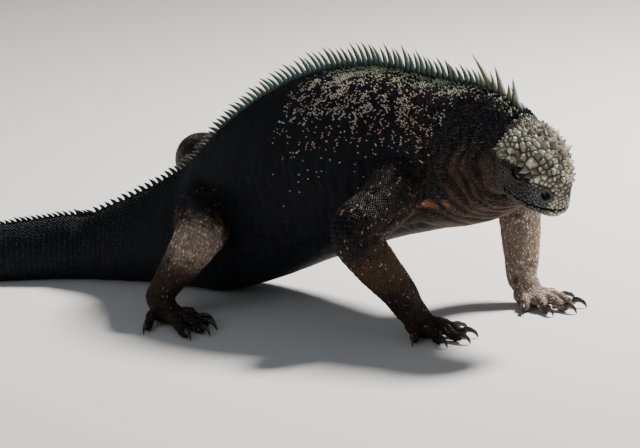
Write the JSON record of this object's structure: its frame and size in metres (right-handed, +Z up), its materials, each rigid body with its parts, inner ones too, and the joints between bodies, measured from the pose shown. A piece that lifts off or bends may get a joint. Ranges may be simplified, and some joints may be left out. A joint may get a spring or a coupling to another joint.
{
  "type": "marine iguana",
  "caption": "Life-size still model of a marine iguana that walks on its front legs with its hips and tail on the floor: spiny crest, studded head, long claws and a flat-sided tail.",
  "frame": {"origin": "on the floor under the vent, in the flat on the underside of the hips", "axes": "+X forward along the trunk and the tail's general run, +Y to the animal's left, +Z up from the floor"},
  "size_m": [0.9318, 0.3684, 0.2281],
  "materials": {
    "dark_skin": "dull, finely scaled, blue-black to brown",
    "head_skin": "dry, pale grey, studded",
    "limb_skin": "dull, granular, grey-brown",
    "claw_horn": "glossy black horn",
    "eye": "wet, dark brown"
  },
  "bodies": {
    "root": {"head": "head_skin", "lower_jaw": "head_skin", "neck": "dark_skin", "chest": "dark_skin", "belly": "dark_skin", "hips": "dark_skin", "tail_1": "dark_skin", "tail_2": "dark_skin", "tail_3": "dark_skin", "tail_4": "dark_skin", "tail_5": "dark_skin", "arm_right": "limb_skin", "forearm_right": "limb_skin", "hand_right": "limb_skin", "arm_left": "limb_skin", "forearm_left": "limb_skin", "hand_left": "limb_skin", "thigh_right": "limb_skin", "shank_right": "limb_skin", "foot_right": "limb_skin", "thigh_left": "limb_skin", "shank_left": "limb_skin", "foot_left": "limb_skin", "eye_right": "eye", "eye_left": "eye", "claw_hand_right_1": "claw_horn", "claw_hand_right_2": "claw_horn", "claw_hand_right_3": "claw_horn", "claw_hand_right_4": "claw_horn", "claw_hand_right_5": "claw_horn", "claw_hand_left_1": "claw_horn", "claw_hand_left_2": "claw_horn", "claw_hand_left_3": "claw_horn", "claw_hand_left_4": "claw_horn", "claw_hand_left_5": "claw_horn", "claw_foot_right_1": "claw_horn", "claw_foot_right_2": "claw_horn", "claw_foot_right_3": "claw_horn", "claw_foot_right_4": "claw_horn", "claw_foot_right_5": "claw_horn", "claw_foot_left_1": "claw_horn", "claw_foot_left_2": "claw_horn", "claw_foot_left_3": "claw_horn", "claw_foot_left_4": "claw_horn", "claw_foot_left_5": "claw_horn"}
  },
  "joints": []
}
